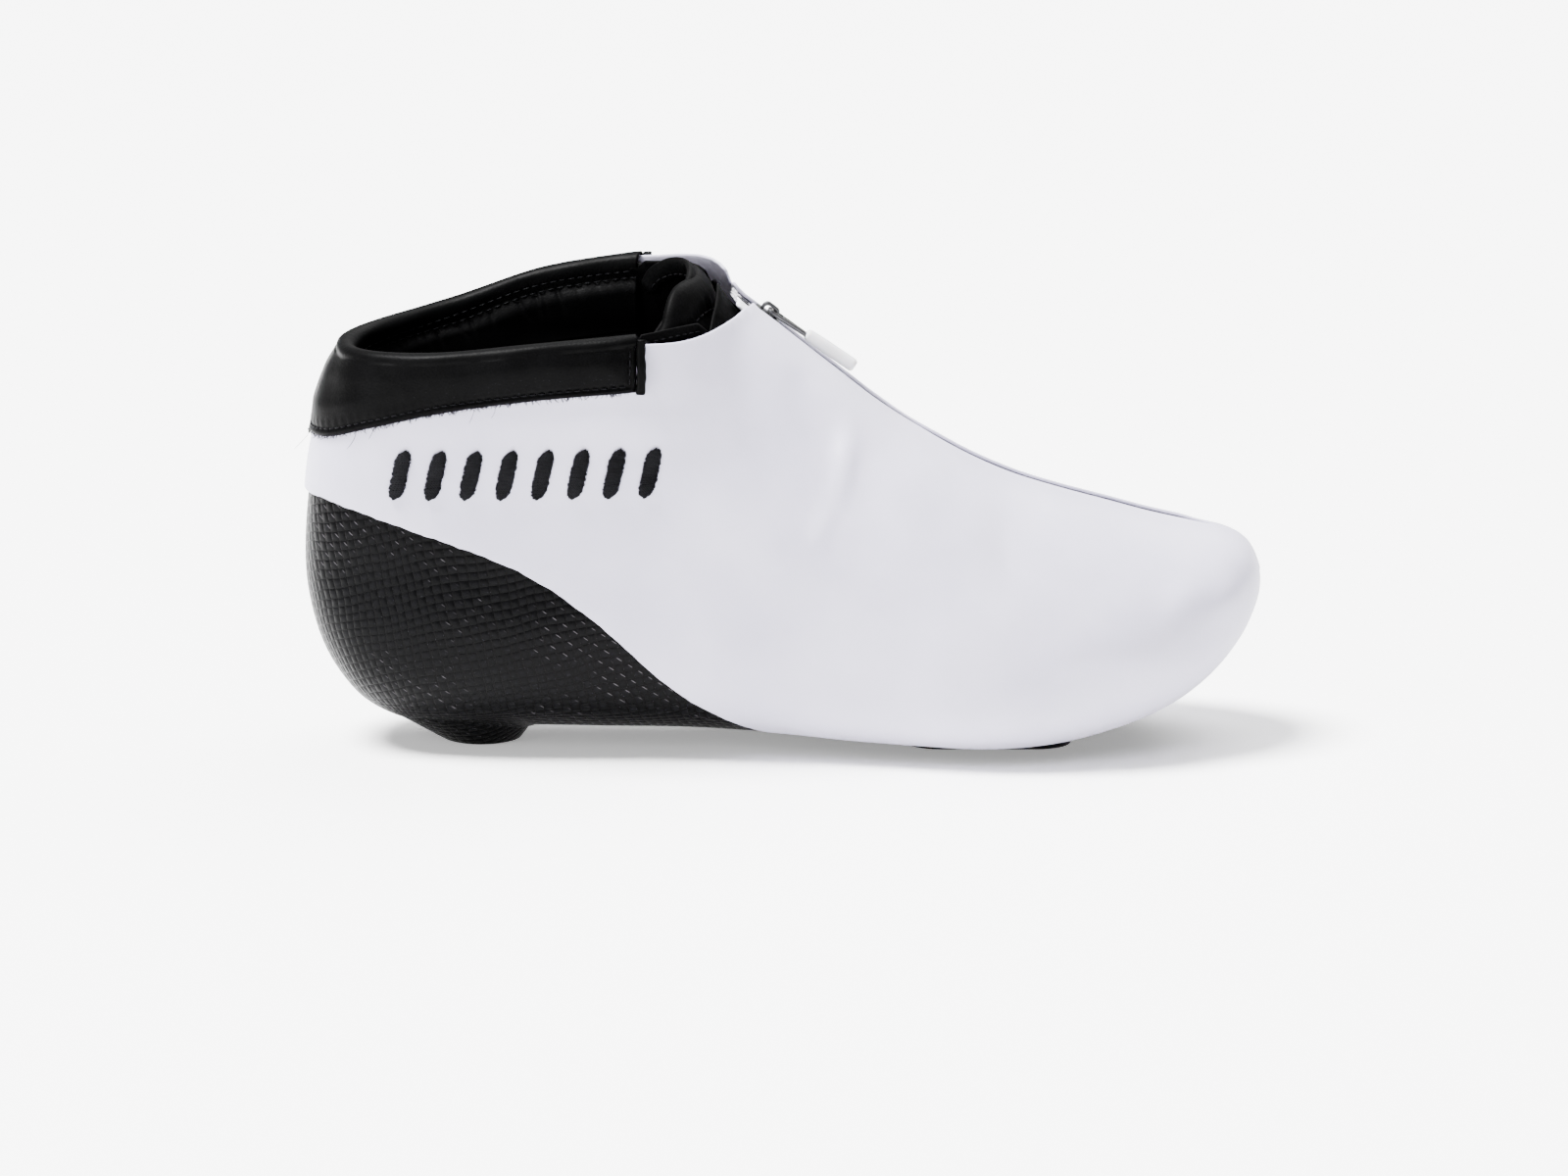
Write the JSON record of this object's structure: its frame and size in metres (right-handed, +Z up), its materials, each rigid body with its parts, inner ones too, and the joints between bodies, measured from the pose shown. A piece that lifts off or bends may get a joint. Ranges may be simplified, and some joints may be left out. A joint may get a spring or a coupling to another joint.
{
  "type": "speed skating boot",
  "caption": "Low-cut speed skating boot for the right foot: carbon heel and sole shell, zipped outer cover, padded collar, laced inner upper with tongue, blade mounts.",
  "frame": {"origin": "on the ground, under the middle of the boot's bounding box", "axes": "+X to the toe, +Y to the inner (medial) side of the foot, +Z up"},
  "size_m": [0.2836, 0.1008, 0.144],
  "materials": {
    "cover": "smooth matt microfibre leather, cool white",
    "carbon": "woven carbon laminate under satin resin",
    "mount_block": "moulded carbon-filled resin, satin",
    "steel": "plain nickel-plated",
    "black_leather": "smooth black leather, fine grain",
    "lining": "black microfibre lining",
    "foam": "fabric-faced foam",
    "board": "fibre insole board",
    "zip_tape": "white woven tape",
    "zip_teeth": "white moulded coil",
    "zip_metal": "grey die-cast zinc",
    "pull_sleeve": "white soft plastic",
    "thread": "black satin stitch"
  },
  "bodies": {
    "boot": {"cover_lateral": "cover", "cover_medial": "cover", "carbon_shell": "carbon", "heel_mount_block": "mount_block", "ball_mount_block": "mount_block", "insert_heel": "steel", "insert_ball_rear": "steel", "insert_ball_front": "steel", "eyelet_lateral_1": "steel", "eyelet_lateral_2": "steel", "eyelet_lateral_3": "steel", "eyelet_lateral_4": "steel", "eyelet_lateral_5": "steel", "eyelet_medial_1": "steel", "eyelet_medial_2": "steel", "eyelet_medial_3": "steel", "eyelet_medial_4": "steel", "eyelet_medial_5": "steel", "quarter_lateral": "black_leather", "quarter_medial": "black_leather", "inner_vamp": "black_leather", "collar": "black_leather", "collar_binding_lateral": "black_leather", "collar_binding_medial": "black_leather", "lining": "lining", "collar_foam": "foam", "ankle_pad_lateral": "foam", "ankle_pad_medial": "foam", "footbed": "foam", "insole_board": "board", "zip_tape_lateral": "zip_tape", "zip_tape_medial": "zip_tape", "zip_chain_lateral": "zip_teeth", "zip_chain_medial": "zip_teeth", "zip_top_stop_lateral": "zip_metal", "zip_top_stop_medial": "zip_metal", "zip_bottom_stop": "zip_metal", "embroidery_1": "thread", "embroidery_2": "thread", "embroidery_3": "thread", "embroidery_4": "thread", "embroidery_5": "thread", "embroidery_6": "thread", "embroidery_7": "thread", "embroidery_8": "thread"},
    "tongue": {"tongue": "black_leather"},
    "slider": {"zip_slider": "zip_metal"},
    "pull": {"zip_pull": "zip_metal", "zip_pull_sleeve": "pull_sleeve"}
  },
  "joints": [
    {"name": "zip_slide", "type": "slide", "parent": "boot", "child": "slider", "axis": [0.7869, 0.001, -0.6171], "range_m": [0, 0.016]},
    {"name": "pull_hinge", "type": "hinge", "parent": "slider", "child": "pull", "pos_m": [-0.00405, 0.00398, 0.12808], "axis": [0, -1, 0], "range_deg": [0, 150]},
    {"name": "tongue_flex", "type": "hinge", "parent": "boot", "child": "tongue", "pos_m": [0.0634, 0.006, 0.06], "axis": [0, -1, 0], "range_deg": [0, 8], "stiffness_Nm_per_rad": 0.2, "springref_deg": -11.46}
  ]
}
